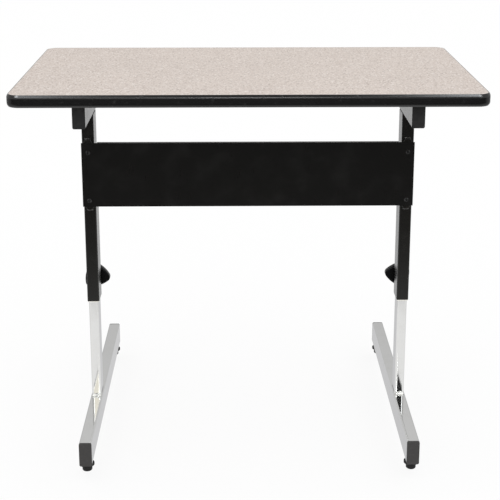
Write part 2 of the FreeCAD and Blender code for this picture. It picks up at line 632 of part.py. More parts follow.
def glide_pad(x, y):
    """Round plastic floor pad with a wider flange on top and a socket for the stud."""
    socket = STUD_RADIUS + THREAD_FIT
    edge_along, edge_across = crown(GLIDE_EDGE_RADIUS, GLIDE_EDGE_RADIUS)
    rim_along, rim_across = crown(GLIDE_FLANGE_EDGE_RADIUS, GLIDE_FLANGE_EDGE_RADIUS)
    rim_foot_height = glide_height - GLIDE_FLANGE_EDGE_RADIUS

    def at(radius, height):
        return Vector(x + radius, y, height)

    flat_edge = at(GLIDE_RADIUS - GLIDE_EDGE_RADIUS, 0)
    edge_middle = at(GLIDE_RADIUS - GLIDE_EDGE_RADIUS + edge_along, edge_across)
    edge_top = at(GLIDE_RADIUS, GLIDE_EDGE_RADIUS)
    rim_foot = at(GLIDE_FLANGE_RADIUS, rim_foot_height)
    rim_middle = at(GLIDE_FLANGE_RADIUS - rim_across, rim_foot_height + rim_along)
    rim_top = at(GLIDE_FLANGE_RADIUS - GLIDE_FLANGE_EDGE_RADIUS, glide_height)
    step_in = at(GLIDE_RADIUS, GLIDE_BASE_HEIGHT)
    step_out = at(GLIDE_FLANGE_RADIUS, GLIDE_BASE_HEIGHT)
    step = [edge_top, step_in, step_out, rim_foot]
    bore = [rim_top, at(socket, glide_height), at(socket, GLIDE_FLOOR), at(0, GLIDE_FLOOR)]
    bore += [at(0, 0), flat_edge]
    edges = [arc(flat_edge, edge_middle, edge_top)]
    edges += [line(start, end) for start, end in zip(step, step[1:])]
    edges.append(arc(rim_foot, rim_middle, rim_top))
    edges += [line(start, end) for start, end in zip(bore, bore[1:])]
    return Part.Face(Part.Wire(edges)).revolve(Vector(x, y, 0), Z_AXIS, 360)


def make_glides(side):
    """Levelling glides: a floor pad and a threaded stud with a hexagon collar at each end of the foot."""
    x = leg_x(side)
    rod_top = foot_top - TUBE_WALL - STUD_TOP_GAP
    collar_flats = 2 * (STUD_RADIUS + STUD_COLLAR_WALL)
    nodes = {}
    for end in ENDS:
        y = glide_y(end)
        rod = cylinder(STUD_RADIUS, rod_top - GLIDE_FLOOR, Vector(x, y, GLIDE_FLOOR), Z_AXIS)
        collar = hexagon_bar(collar_flats, STUD_COLLAR_HEIGHT, Vector(x, y, glide_height), Z_AXIS)
        nodes[f"{side}_{end}_glide_pad"] = glide_pad(x, y)
        nodes[f"{side}_{end}_glide_stud"] = whole([rod, collar])
    return nodes


def main():
    """Build every piece and write it under its own name."""
    nodes = {}
    nodes.update(make_worktop())
    nodes.update(make_worktop_screws())
    nodes.update(make_modesty_panel())
    leg_makers = (make_arm, make_sleeve, make_panel_bracket, make_clamp, make_post, make_post_welds)
    leg_makers += (make_foot, make_glides)
    for side in SIDES:
        for make in leg_makers:
            nodes.update(make(side))
    os.makedirs("parts", exist_ok=True)
    for name, shape in nodes.items():
        shape.exportStep(os.path.join("parts", f"{name}.step"))
    print(len(nodes), "nodes,", sum(len(shape.Solids) for shape in nodes.values()), "solids")


main()
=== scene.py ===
"""Height-adjustable utility table: finishes, weld beads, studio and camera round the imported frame."""
import logging
import math
from dataclasses import dataclass, field
from enum import Enum
from typing import ClassVar, Dict, Mapping, Optional, Sequence, Tuple, Union

import bmesh
import bpy
from mathutils import Matrix, Quaternion, Vector


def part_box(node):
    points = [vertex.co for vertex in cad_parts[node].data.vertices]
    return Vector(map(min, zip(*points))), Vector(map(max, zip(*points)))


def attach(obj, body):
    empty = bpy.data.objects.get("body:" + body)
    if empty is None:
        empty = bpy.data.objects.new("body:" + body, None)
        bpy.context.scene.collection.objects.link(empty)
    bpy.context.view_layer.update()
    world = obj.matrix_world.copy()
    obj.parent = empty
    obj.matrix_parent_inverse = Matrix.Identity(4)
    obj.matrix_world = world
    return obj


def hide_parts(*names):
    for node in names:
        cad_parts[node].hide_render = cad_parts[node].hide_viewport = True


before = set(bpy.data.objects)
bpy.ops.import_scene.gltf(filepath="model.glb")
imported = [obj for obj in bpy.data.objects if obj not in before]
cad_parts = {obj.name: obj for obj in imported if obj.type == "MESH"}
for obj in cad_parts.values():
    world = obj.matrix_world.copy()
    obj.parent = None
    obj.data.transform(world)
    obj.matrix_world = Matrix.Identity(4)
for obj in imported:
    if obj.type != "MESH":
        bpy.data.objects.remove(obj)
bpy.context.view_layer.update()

LOG = logging.getLogger("utility_table")

Colour = Tuple[float, float, float]
Spot = Tuple[float, float, float]
Span = Tuple[float, float]
Plug = Union["Wire", float, Sequence[float]]

WHITE = (1.0, 1.0, 1.0, 1.0)
# Sockets of a Mix node that mixes colours: its share, its two colours and its result.
MIX_SHARE, MIX_FIRST, MIX_SECOND, MIX_RESULT = 0, 6, 7, 2
# A wave texture of this scale has one band to the unit.
BAND_SCALE = math.pi / 10
# Metres within which points are one point, or lie on a cut.
SAME_POINT = 1e-7
ON_CUT = 1e-8


class Side(Enum):
    """The two legs, as seen from the modesty panel's side."""

    LEFT = "left"
    RIGHT = "right"


class End(Enum):
    """The two ends of an arm or a foot."""

    FRONT = "front"
    REAR = "rear"


class Run(Enum):
    """The direction in which a piece was drawn, rolled or threaded."""

    X = 0
    Y = 1
    Z = 2


class Slot(Enum):
    """Finish slots of the table's record."""

    CHROME = "chrome"
    POWDER_COAT = "black_powder_coat"


class Wire:
    """An output socket that takes part in plain arithmetic."""

    def __init__(self, bench: "Bench", socket: bpy.types.NodeSocket) -> None:
        """Keep the socket and the bench that it belongs to."""
        self.bench = bench
        self.socket = socket

    def _with(self, operation: str, first: Plug, second: Plug) -> "Wire":
        """Add a Math node of two terms.

        Args:
            operation: the Math node's operation.
            first: the first term.
            second: the second term.

        Returns:
            The result.
        """
        return self.bench.add("Math", {"operation": operation}, {0: first, 1: second})

    def __add__(self, other: Plug) -> "Wire":
        """Sum."""
        return self._with("ADD", self, other)

    def __radd__(self, other: Plug) -> "Wire":
        """Sum with a number on the left."""
        return self._with("ADD", other, self)

    def __sub__(self, other: Plug) -> "Wire":
        """Difference."""
        return self._with("SUBTRACT", self, other)

    def __rsub__(self, other: Plug) -> "Wire":
        """Difference with a number on the left."""
        return self._with("SUBTRACT", other, self)

    def __mul__(self, other: Plug) -> "Wire":
        """Product."""
        return self._with("MULTIPLY", self, other)

    def __rmul__(self, other: Plug) -> "Wire":
        """Product with a number on the left."""
        return self._with("MULTIPLY", other, self)

    def most(self, other: Plug) -> "Wire":
        """The larger of two values."""
        return self._with("MAXIMUM", self, other)

    def ramp(self, low: float, high: float) -> "Wire":
        """Rise smoothly from 0 at low to 1 at high.

        Args:
            low: the value that becomes 0.
            high: the value that becomes 1.

        Returns:
            The smooth step.
        """
        settings = {"interpolation_type": "SMOOTHSTEP"}
        inputs = {"Value": self, "From Min": low, "From Max": high, "To Min": 0.0, "To Max": 1.0}
        return self.bench.add("MapRange", settings, inputs)


class Bench:
    """A node tree on which a finish is wired up."""

    def __init__(self, tree: bpy.types.NodeTree) -> None:
        """Clear the tree."""
        self.tree = tree
        tree.nodes.clear()

    def add(self, kind: str, settings: Optional[Mapping[str, object]] = None,
            inputs: Optional[Mapping[Union[str, int], Plug]] = None,
            output: Union[str, int] = 0) -> Optional[Wire]:
        """Add one node.

        Args:
            kind: the node's type, without ShaderNode in front.
            settings: its properties, set before its sockets.
            inputs: the values or links of its sockets.
            output: the output that is wanted.

        Returns:
            That output, or None where the node has none.
        """
        node = self.tree.nodes.new("ShaderNode" + kind)
        for name, value in (settings or {}).items():
            setattr(node, name, value)
        for key, value in (inputs or {}).items():
            if isinstance(value, Wire):
                self.tree.links.new(value.socket, node.inputs[key])
            else:
                node.inputs[key].default_value = value
        return Wire(self, node.outputs[output]) if node.outputs else None

    def place(self) -> Wire:
        """Where a point lies on the table, in metres."""
        return self.add("TexCoord", output="Object")

    def along(self, run: Run) -> Wire:
        """How far along one direction a point lies, in metres."""
        return self.add("SeparateXYZ", None, {0: self.place()}, run.value)

    def moved(self, shift: Spot) -> Wire:
        """Coordinates that are shifted, so that a pattern differs from its like."""
        return self.add("VectorMath", {"operation": "ADD"}, {0: self.place(), 1: shift})

    def stretched(self, across: float, along: float, run: Run) -> Wire:
        """Coordinates drawn out along one direction.

        Args:
            across: width of a streak in metres.
            along: length of a streak in metres.
            run: the direction of the streaks.

        Returns:
            The coordinates, one unit to a streak.
        """
        scale = [1 / across] * 3
        scale[run.value] = 1 / along
        return self.add("Mapping", None, {"Vector": self.place(), "Scale": scale})

    def cells(self, size: float) -> Wire:
        """Cells that each have a tone of their own between 0 and 1.

        Args:
            size: width of a cell in metres.

        Returns:
            The tone.
        """
        colour = self.add("TexVoronoi", None, {"Vector": self.place(), "Scale": 1 / size}, "Color")
        return self.add("SeparateColor", None, {0: colour})

    def tint(self, share: Plug, first: Plug, second: Plug) -> Wire:
        """Mix two colours.

        Args:
            share: how much of the second there is.
            first: a colour or link.
            second: a colour or link.

        Returns:
            The mixed colour.
        """
        colours = [(*c, 1.0) if isinstance(c, tuple) else c for c in (first, second)]
        inputs = {MIX_SHARE: share, MIX_FIRST: colours[0], MIX_SECOND: colours[1]}
        return self.add("Mix", {"data_type": "RGBA"}, inputs, MIX_RESULT)

    def surface(self, **sockets: Plug) -> None:
        """Finish a material with its surface shader.

        Args:
            sockets: values or links, named as the sockets with _ for a space.
        """
        inputs = {name.replace("_", " "): value for name, value in sockets.items()}
        shader = self.add("BsdfPrincipled", None, inputs)
        self.add("OutputMaterial", None, {"Surface": shader})


@dataclass(frozen=True)
class Pattern:
    """A cloudy pattern between 0 and 1, or a streaky one where it has a length. Sizes are in metres.

    The detail is the number of its finer layers, and rough is their strength. The edge is the pair of
    values that become 0 and 1, which leaves patches. The shift sets it apart from another of its size.
    """

    size: float
    detail: float = 2.0
    rough: float = 0.5
    edge: Optional[Span] = None
    length: Optional[float] = None
    shift: Optional[Spot] = None

    def lay(self, bench: Bench, run: Run = Run.Z) -> Wire:
        """Lay the pattern on a surface.

        Args:
            bench: the bench that it is wired on.
            run: the direction of its streaks, if it has a length.

        Returns:
            The pattern's value.
        """
        inputs = {"Detail": self.detail, "Roughness": self.rough}
        if self.length is not None:
            inputs.update({"Vector": bench.stretched(self.size, self.length, run), "Scale": 1.0})
        else:
            place = bench.moved(self.shift) if self.shift else bench.place()
            inputs.update({"Vector": place, "Scale": 1 / self.size})
        value = bench.add("TexNoise", None, inputs)
        return value.ramp(*self.edge) if self.edge else value


@dataclass(frozen=True)
class Relief:
    """How far a pattern raises a surface: a full step in metres, and how strongly it shows."""

    depth: float
    strength: float = 1.0

    def bump(self, bench: Bench, height: Wire) -> Wire:
        """Raise the surface by a pattern.

        Args:
            bench: the bench that it is wired on.
            height: the pattern.

        Returns:
            The bumped normal.
        """
        return bench.add("Bump", None, {"Height": height, "Distance": self.depth, "Strength": self.strength})


def new_paint(name: str) -> Tuple[bpy.types.Material, Bench]:
    """Start a material.

    Args:
        name: the material's name.

    Returns:
        The material and its empty bench.
    """
    paint = bpy.data.materials.new(name)
    paint.use_nodes = True
    return paint, Bench(paint.node_tree)


class Finish:
    """A surface finish that is wired once and shared by the pieces that carry it."""

    name: str = "finish"
    made: ClassVar[Dict[str, bpy.types.Material]] = {}

    def wire(self, bench: Bench) -> None:
        """Wire the finish on a cleared bench."""
        raise NotImplementedError

    def material(self) -> bpy.types.Material:
        """The finish's material, made the first time that it is asked for."""
        if self.name not in self.made:
            self.made[self.name], bench = new_paint(self.name)
            self.wire(bench)
        return self.made[self.name]

    def put_on(self, piece: bpy.types.Object) -> None:
        """Give a piece this finish and no other."""
        piece.data.materials.clear()
        piece.data.materials.append(self.material())


@dataclass(frozen=True)
class SpeckledLaminate(Finish):
    """Warm grey laminate with fine pale and dark flecks under a low sheen."""

    name: str = "speckled_laminate"
    ground: Colour = (0.655, 0.577, 0.525)
    dark: Colour = (0.270, 0.225, 0.200)
    pale: Colour = (0.930, 0.880, 0.840)
    dark_flecks: Pattern = Pattern(0.0038, 3.0, 0.6, edge=(0.52, 0.66))
    pale_flecks: Pattern = Pattern(0.0038, 3.0, 0.6, edge=(0.52, 0.66), shift=(3.1, 7.7, 1.3))
    fleck_share: float = 0.66
    grit: Pattern = Pattern(0.0022, rough=0.7)
    cloud: Pattern = Pattern(0.14)
    darkest: float = 0.75
    grit_shade: float = 0.42
    cloud_shade: float = 0.08
    pressing: Pattern = Pattern(0.0007, detail=1.0)
    grit_height: float = 0.5
    relief: Relief = Relief(0.00004, 0.6)
    matting: Pattern = Pattern(0.004)
    roughness: float = 0.58
    matting_roughness: float = 0.14
    sheen: float = 0.10

    def wire(self, bench: Bench) -> None:
        """Flecks of two colours, a faint cloudiness and a fine pressed texture."""
        grit = self.grit.lay(bench)
        colour = bench.tint(self.dark_flecks.lay(bench) * self.fleck_share, self.ground, self.dark)
        colour = bench.tint(self.pale_flecks.lay(bench) * self.fleck_share, colour, self.pale)
        shade = self.darkest + grit * self.grit_shade + self.cloud.lay(bench) * self.cloud_shade
        colour = bench.add("VectorMath", {"operation": "SCALE"}, {0: colour, "Scale": shade})
        texture = self.pressing.lay(bench) + grit * self.grit_height
        bench.surface(Base_Color=colour, Specular_IOR_Level=self.sheen,
                      Roughness=self.roughness + self.matting.lay(bench) * self.matting_roughness,
                      Normal=self.relief.bump(bench, texture))


@dataclass(frozen=True)
class ParticleBoard(Finish):
    """Pressed wood chips."""

    name: str = "particle_board"
    chip: Colour = (0.52, 0.37, 0.22)
    resin: Colour = (0.22, 0.13, 0.07)
    size: float = 0.004
    resin_share: float = 0.6
    gap_width: float = 0.12
    chip_slope: float = 0.2
    roughness: float = 0.8
    chip_roughness: float = 0.1
    relief: Relief = Relief(0.0003)

    def wire(self, bench: Bench) -> None:
        """Chips of different browns with dark gaps between them."""
        tone = bench.cells(self.size)
        gap = bench.add("TexVoronoi", {"feature": "DISTANCE_TO_EDGE"},
                        {"Vector": bench.place(), "Scale": 1 / self.size})
        colour = bench.tint(tone * self.resin_share, self.chip, self.resin)
        colour = bench.tint(1 - gap.ramp(0.0, self.gap_width), colour, self.resin)
        bench.surface(Base_Color=colour, Roughness=self.roughness + tone * self.chip_roughness,
                      Normal=self.relief.bump(bench, gap.ramp(0.0, self.chip_slope)))


@dataclass(frozen=True)
class BackerSheet(Finish):
    """Dark brown resin paper that balances the laminate on the underside."""

    name: str = "backer_sheet"
    ground: Colour = (0.150, 0.118, 0.096)
    fibre: Colour = (0.235, 0.190, 0.155)
    fibres: Pattern = Pattern(0.0008, 3.0, 0.6, edge=(0.45, 0.7), length=0.012)
    fibre_share: float = 0.4
    mottle: Pattern = Pattern(0.05, 3.0)
    mottle_share: float = 0.3
    roughness: float = 0.55
    fibre_roughness: float = 0.2
    sheen: float = 0.3
    relief: Relief = Relief(0.00005, 0.6)

    def wire(self, bench: Bench) -> None:
        """Paper fibres along the sheet and a broad mottle."""
        fibres = self.fibres.lay(bench, Run.X)
        share = fibres * self.fibre_share + self.mottle.lay(bench) * self.mottle_share
        bench.surface(Base_Color=bench.tint(share, self.ground, self.fibre),
                      Roughness=self.roughness + fibres * self.fibre_roughness,
                      Specular_IOR_Level=self.sheen, Normal=self.relief.bump(bench, fibres))


@dataclass(frozen=True)
class EdgeVinyl(Finish):
    """Black extruded vinyl."""

    name: str = "black_vinyl"
    ground: Colour = (0.0072, 0.0069, 0.0070)
    scuff: Colour = (0.015, 0.0146, 0.0144)
    scuffs: Pattern = Pattern(0.012, 4.0, 0.6, edge=(0.58, 0.74))
    scuff_share: float = 0.5
    grain: Pattern = Pattern(0.0006)
    roughness: float = 0.17
    grain_roughness: float = 0.06
    scuff_roughness: float = 0.1
    sheen: float = 0.5
    relief: Relief = Relief(0.00003, 0.5)

    def wire(self, bench: Bench) -> None:
        """A soft grain with a few scuffs where the edge is knocked."""
        scuffs = self.scuffs.lay(bench)
        grain = self.grain.lay(bench)
        roughness = self.roughness + grain * self.grain_roughness + scuffs * self.scuff_roughness
        bench.surface(Base_Color=bench.tint(scuffs * self.scuff_share, self.ground, self.scuff),
                      Roughness=roughness, Specular_IOR_Level=self.sheen,
                      Normal=self.relief.bump(bench, grain))


@dataclass(frozen=True)
class PowderCoat(Finish):
    """Black powder coat with a fine orange peel."""

    name: str = "sleeve_powder_coat"
    ground: Colour = (0.0074, 0.0068, 0.0055)
    dust: Colour = (0.0165, 0.0155, 0.0138)
    roughness: float = 0.25
    sheen: float = 0.36
    peel: Pattern = Pattern(0.0016, rough=0.45)
    film: Pattern = Pattern(0.045, 4.0, 0.6, edge=(0.45, 0.8))
    film_share: float = 0.16
    film_roughness: float = 0.05
    rubs: Pattern = Pattern(0.004, 3.0, 0.6, edge=(0.6, 0.8), length=0.05)
    rub_share: float = 0.12
    rub_polish: float = 0.06
    relief: Relief = Relief(0.00005, 0.35)

    def wire(self, bench: Bench) -> None:
        """Orange peel, a faint dust film and rubbed patches."""
        film = self.film.lay(bench)
        rubs = self.rubs.lay(bench)
        share = film * self.film_share + rubs * self.rub_share
        bench.surface(Base_Color=bench.tint(share, self.ground, self.dust),
                      Roughness=self.roughness + film * self.film_roughness - rubs * self.rub_polish,
                      Specular_IOR_Level=self.sheen, Normal=self.relief.bump(bench, self.peel.lay(bench)))


@dataclass(frozen=True)
class BrightPlate(Finish):
    """Bright plated steel tube with fine draw lines along its length."""

    name: str = "bright_plate"
    colour: Colour = (0.74, 0.74, 0.73)
    stain: Colour = (0.68, 0.675, 0.655)
    edge_tint: Tuple[float, float, float, float] = (0.62, 0.62, 0.63, 1.0)
    run: Run = Run.Z
    roughness: float = 0.05
    lines: Pattern = Pattern(0.0011, 3.0, 0.6, length=0.16)
    line_roughness: float = 0.03
    hairs: Pattern = Pattern(0.0004, edge=(0.62, 0.72), length=0.03)
    hair_share: float = 0.2
    hair_roughness: float = 0.08
    haze: Pattern = Pattern(0.03, 3.0, 0.55, edge=(0.42, 0.8))
    haze_share: float = 0.35
    haze_roughness: float = 0.05
    relief: Relief = Relief(0.00001, 0.35)

    def wire(self, bench: Bench) -> None:
        """Draw lines, hairline rub marks and a little haze."""
        lines = self.lines.lay(bench, self.run)
        hairs = self.hairs.lay(bench, self.run)
        haze = self.haze.lay(bench)
        share = haze * self.haze_share + hairs * self.hair_share
        roughness = self.roughness + haze * self.haze_roughness + hairs * self.hair_roughness
        bench.surface(Base_Color=bench.tint(share, self.colour, self.stain), Metallic=1.0,
                      Specular_Tint=self.edge_tint, Roughness=roughness + lines * self.line_roughness,
                      Normal=self.relief.bump(bench, lines))


@dataclass(frozen=True)
class WeldMetal(Finish):
    """Plated weld metal, duller than the drawn tube."""

    name: str = "plated_weld"
    colour: Colour = (0.70, 0.69, 0.66)
    scale: Colour = (0.46, 0.43, 0.38)
    scale_traces: Pattern = Pattern(0.003, 3.0, edge=(0.5, 0.75))
    scale_share: float = 0.4
    grain: Pattern = Pattern(0.0006, 3.0, 0.6)
    roughness: float = 0.22
    grain_roughness: float = 0.16
    relief: Relief = Relief(0.00008, 0.6)

    def wire(self, bench: Bench) -> None:
        """Grainy metal with traces of scale in the ripples."""
        grain = self.grain.lay(bench)
        share = self.scale_traces.lay(bench) * self.scale_share
        bench.surface(Base_Color=bench.tint(share, self.colour, self.scale), Metallic=1.0,
                      Roughness=self.roughness + grain * self.grain_roughness,
                      Normal=self.relief.bump(bench, grain))


@dataclass(frozen=True)
class ZincPlate(Finish):
    """Zinc plated steel, with turned thread rings where a length of it is threaded."""

    name: str = "zinc_plate"
    colour: Colour = (0.52, 0.52, 0.50)
    shade: Colour = (0.34, 0.34, 0.345)
    run: Optional[Run] = None
    pitch: float = 0.00125
    thread_from: float = -1.0
    thread_blend: float = 0.0002
    groove_shade_share: float = 0.5
    spangle: float = 1 / 900
    spangle_share: float = 0.45
    grain: Pattern = Pattern(0.0008, 3.0)
    grain_height: float = 0.05
    roughness: float = 0.26
    grain_roughness: float = 0.18
    relief: Relief = Relief(0.0006, 0.7)

    def wire(self, bench: Bench) -> None:
        """Small spangles, and rings along the threaded length with painted shade in the grooves between
        them.
        """
        grain = self.grain.lay(bench)
        share = bench.cells(self.spangle) * self.spangle_share
        height = grain * self.grain_height
        if self.run is not None:
            rings = bench.add("TexWave", {"bands_direction": self.run.name},
                              {"Vector": bench.place(), "Scale": BAND_SCALE / self.pitch})
            start, end = self.thread_from - self.thread_blend, self.thread_from + self.thread_blend
            threaded = bench.along(self.run).ramp(start, end)
            height = height + rings * threaded
            # The grooves between the rings take the darker colour: painted shade in the thread's recesses.
            share = share + (1 - rings) * threaded * self.groove_shade_share
        bench.surface(Base_Color=bench.tint(share, self.colour, self.shade), Metallic=1.0,
                      Roughness=self.roughness + grain * self.grain_roughness,
                      Normal=self.relief.bump(bench, height))


@dataclass(frozen=True)
class BlackOxide(Finish):
    """Black oxide on small screws."""

    name: str = "black_oxide"
    colour: Colour = (0.070, 0.070, 0.070)
    rubbed: Colour = (0.18, 0.18, 0.18)
    rubs: Pattern = Pattern(0.0016, 3.0, 0.6, edge=(0.52, 0.75))
    rub_share: float = 0.6
    metal: float = 0.9
    grain: Pattern = Pattern(0.0005)
    roughness: float = 0.20
    grain_roughness: float = 0.12
    sheen: float = 0.25
    relief: Relief = Relief(0.00004, 0.6)

    def wire(self, bench: Bench) -> None:
        """Black metal that is rubbed a little brighter in spots."""
        share = self.rubs.lay(bench) * self.rub_share
        grain = self.grain.lay(bench)
        bench.surface(Base_Color=bench.tint(share, self.colour, self.rubbed), Metallic=self.metal,
                      Roughness=self.roughness + grain * self.grain_roughness,
                      Specular_IOR_Level=self.sheen, Normal=self.relief.bump(bench, grain))


@dataclass(frozen=True)
class Nylon(Finish):
    """Natural nylon."""

    name: str = "natural_nylon"
    colour: Colour = (0.80, 0.785, 0.74)
    yellowed: Colour = (0.72, 0.68, 0.58)
    aged: Pattern = Pattern(0.012, 3.0, edge=(0.4, 0.75))
    aged_share: float = 0.6
    scores: Pattern = Pattern(0.0005, length=0.01)
    roughness: float = 0.36
    score_roughness: float = 0.18
    relief: Relief = Relief(0.00004, 0.5)

    def wire(self, bench: Bench) -> None:
        """A milky ground, slightly yellowed in places and lightly scored."""
        share = self.aged.lay(bench) * self.aged_share
        scores = self.scores.lay(bench)
        bench.surface(Base_Color=bench.tint(share, self.colour, self.yellowed),
                      Roughness=self.roughness + scores * self.score_roughness,
                      Normal=self.relief.bump(bench, scores))


@dataclass(frozen=True)
class MouldedPlastic(Finish):
    """Moulded plastic with a spark-eroded texture."""

    name: str = "moulded_plastic"
    colour: Colour = (0.011, 0.011, 0.0105)
    worn: Colour = (0.030, 0.029, 0.028)
    roughness: float = 0.45
    sheen: float = 0.2
    pits: Pattern = Pattern(0.0007, rough=0.6)
    pit_share: float = 0.12
    pit_roughness: float = 0.14
    wear: Pattern = Pattern(0.009, 4.0, 0.6, edge=(0.5, 0.78))
    wear_share: float = 0.45
    wear_polish: float = 0.1
    relief: Relief = Relief(0.00007, 0.7)

    def wire(self, bench: Bench) -> None:
        """Fine pits, and patches polished by handling."""
        pits = self.pits.lay(bench)
        wear = self.wear.lay(bench)
        share = wear * self.wear_share + pits * self.pit_share
        bench.surface(Base_Color=bench.tint(share, self.colour, self.worn),
                      Roughness=self.roughness + pits * self.pit_roughness - wear * self.wear_polish,
                      Specular_IOR_Level=self.sheen, Normal=self.relief.bump(bench, pits))


def dress(finish: Finish, *names: str) -> None:
    """Put one finish on several pieces of the frame and report each.

    Args:
        finish: the finish.
        names: the pieces.
    """
    for name in names:
        finish.put_on(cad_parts[name])
        LOG.info("%s: %s", name, finish.name)


def new_piece(name: str, mesh: bmesh.types.BMesh) -> bpy.types.Object:
    """Make an object at the origin from a finished mesh.

    Args:
        name: the piece's name.
        mesh: its mesh, which is freed.

    Returns:
        The object, smooth shaded.
    """
    data = bpy.data.meshes.new(name)
    mesh.to_mesh(data)
    mesh.free()
    for face in data.polygons:
        face.use_smooth = True
    piece = bpy.data.objects.new(name, data)
    bpy.context.scene.collection.objects.link(piece)
    LOG.info("%s: %d faces", name, len(data.polygons))
    return piece


@dataclass
class Worktop:
    """Laminated board with its backer, its edge band and its hidden screws."""

    laminate: Finish = field(default_factory=SpeckledLaminate)
    core: Finish = field(default_factory=ParticleBoard)
    backer: Finish = field(default_factory=BackerSheet)
    band: Finish = field(default_factory=EdgeVinyl)
    screws: Finish = field(default_factory=ZincPlate)

    def dress(self) -> None:
        """Give each layer of the board its finish."""
        dress(self.laminate, "tabletop_laminate")
        dress(self.core, "tabletop_core")
        dress(self.backer, "tabletop_backer")
        dress(self.band, "edge_band")
        dress(self.screws, "tabletop_screws")


@dataclass
class ModestyPanel:
    """Folded sheet between the sleeves, with its screws."""

    sheet: Finish = field(default_factory=lambda: PowderCoat(
        name="panel_powder_coat", ground=(0.0040, 0.0036, 0.0030), roughness=0.30, sheen=0.3))
    screws: Finish = field(default_factory=BlackOxide)

    def dress(self) -> None:
        """Coat the sheet and blacken its screws."""
        dress(self.sheet, "modesty_panel")
        dress(self.screws, "panel_screws")


@dataclass
class RippledBead:
    """A weld bead laid along X, as overlapping ripples in the corner of two faces.

    Lengths are in metres and the lean is in degrees. The rise is 1 for a bead that lies on a face and -1
    for one that hangs under it. The wobble makes each ripple a little larger or smaller than the last.
    """

    corner: Vector
    outward: float
    length: float
    leg: float
    ripples: int = 11
    rise: float = 1.0
    overlap: float = 1.35
    lean: float = 14.0
    swell: float = 0.90
    wobble: float = 0.10
    wobble_step: float = 5.3
    wobble_start: float = 1.1
    end_taper: float = 0.45
    segments: int = 18
    rings: int = 12

    def build(self, mesh: bmesh.types.BMesh) -> None:
        """Add the bead to a mesh.

        Args:
            mesh: the mesh that the ripples are added to.
        """
        bead = bmesh.new()
        for step in range(self.ripples):
            self._lay_ripple(bead, step)
        self._trim(bead, Vector((0.0, self.outward, 0.0)))
        self._trim(bead, Vector((0.0, 0.0, self.rise)))
        bmesh.ops.remove_doubles(bead, verts=bead.verts[:], dist=SAME_POINT)
        bmesh.ops.recalc_face_normals(bead, faces=bead.faces[:])
        finished = bpy.data.meshes.new("bead")
        bead.to_mesh(finished)
        bead.free()
        mesh.from_mesh(finished)
        bpy.data.meshes.remove(finished)

    def _lay_ripple(self, bead: bmesh.types.BMesh, step: int) -> None:
        """Add one ripple, a leaning ellipsoid that is a little smaller towards the bead's ends.

        Args:
            bead: the ripples so far.
            step: the ripple's number.
        """
        share = (step + 1) / (self.ripples + 1)
        swell = self.swell + self.wobble * math.sin(self.wobble_step * step + self.wobble_start)
        swell *= math.sqrt(1 - (2 * share - 1) ** 4 * self.end_taper)
        pitch = self.length / (self.ripples + 1)
        size = Matrix.Diagonal((pitch * self.overlap, self.leg * swell, self.leg * swell, 1.0))
        lean = Matrix.Rotation(math.radians(self.lean), 4, "Y")
        place = self.corner + Vector(((share - 0.5) * self.length, 0.0, 0.0))
        bmesh.ops.create_uvsphere(bead, u_segments=self.segments, v_segments=self.rings, radius=1.0,
                                  matrix=Matrix.Translation(place) @ lean @ size)

    def _trim(self, bead: bmesh.types.BMesh, keep: Vector) -> None:
        """Cut the ripples at a face through the corner and close the cuts.

        Args:
            bead: the ripples.
            keep: the direction of the side that stays.
        """
        everything = bead.verts[:] + bead.edges[:] + bead.faces[:]
        bmesh.ops.bisect_plane(bead, geom=everything, dist=ON_CUT, plane_co=self.corner, plane_no=keep,
                               clear_inner=True)
        bmesh.ops.holes_fill(bead, edges=[edge for edge in bead.edges if edge.is_boundary], sides=0)


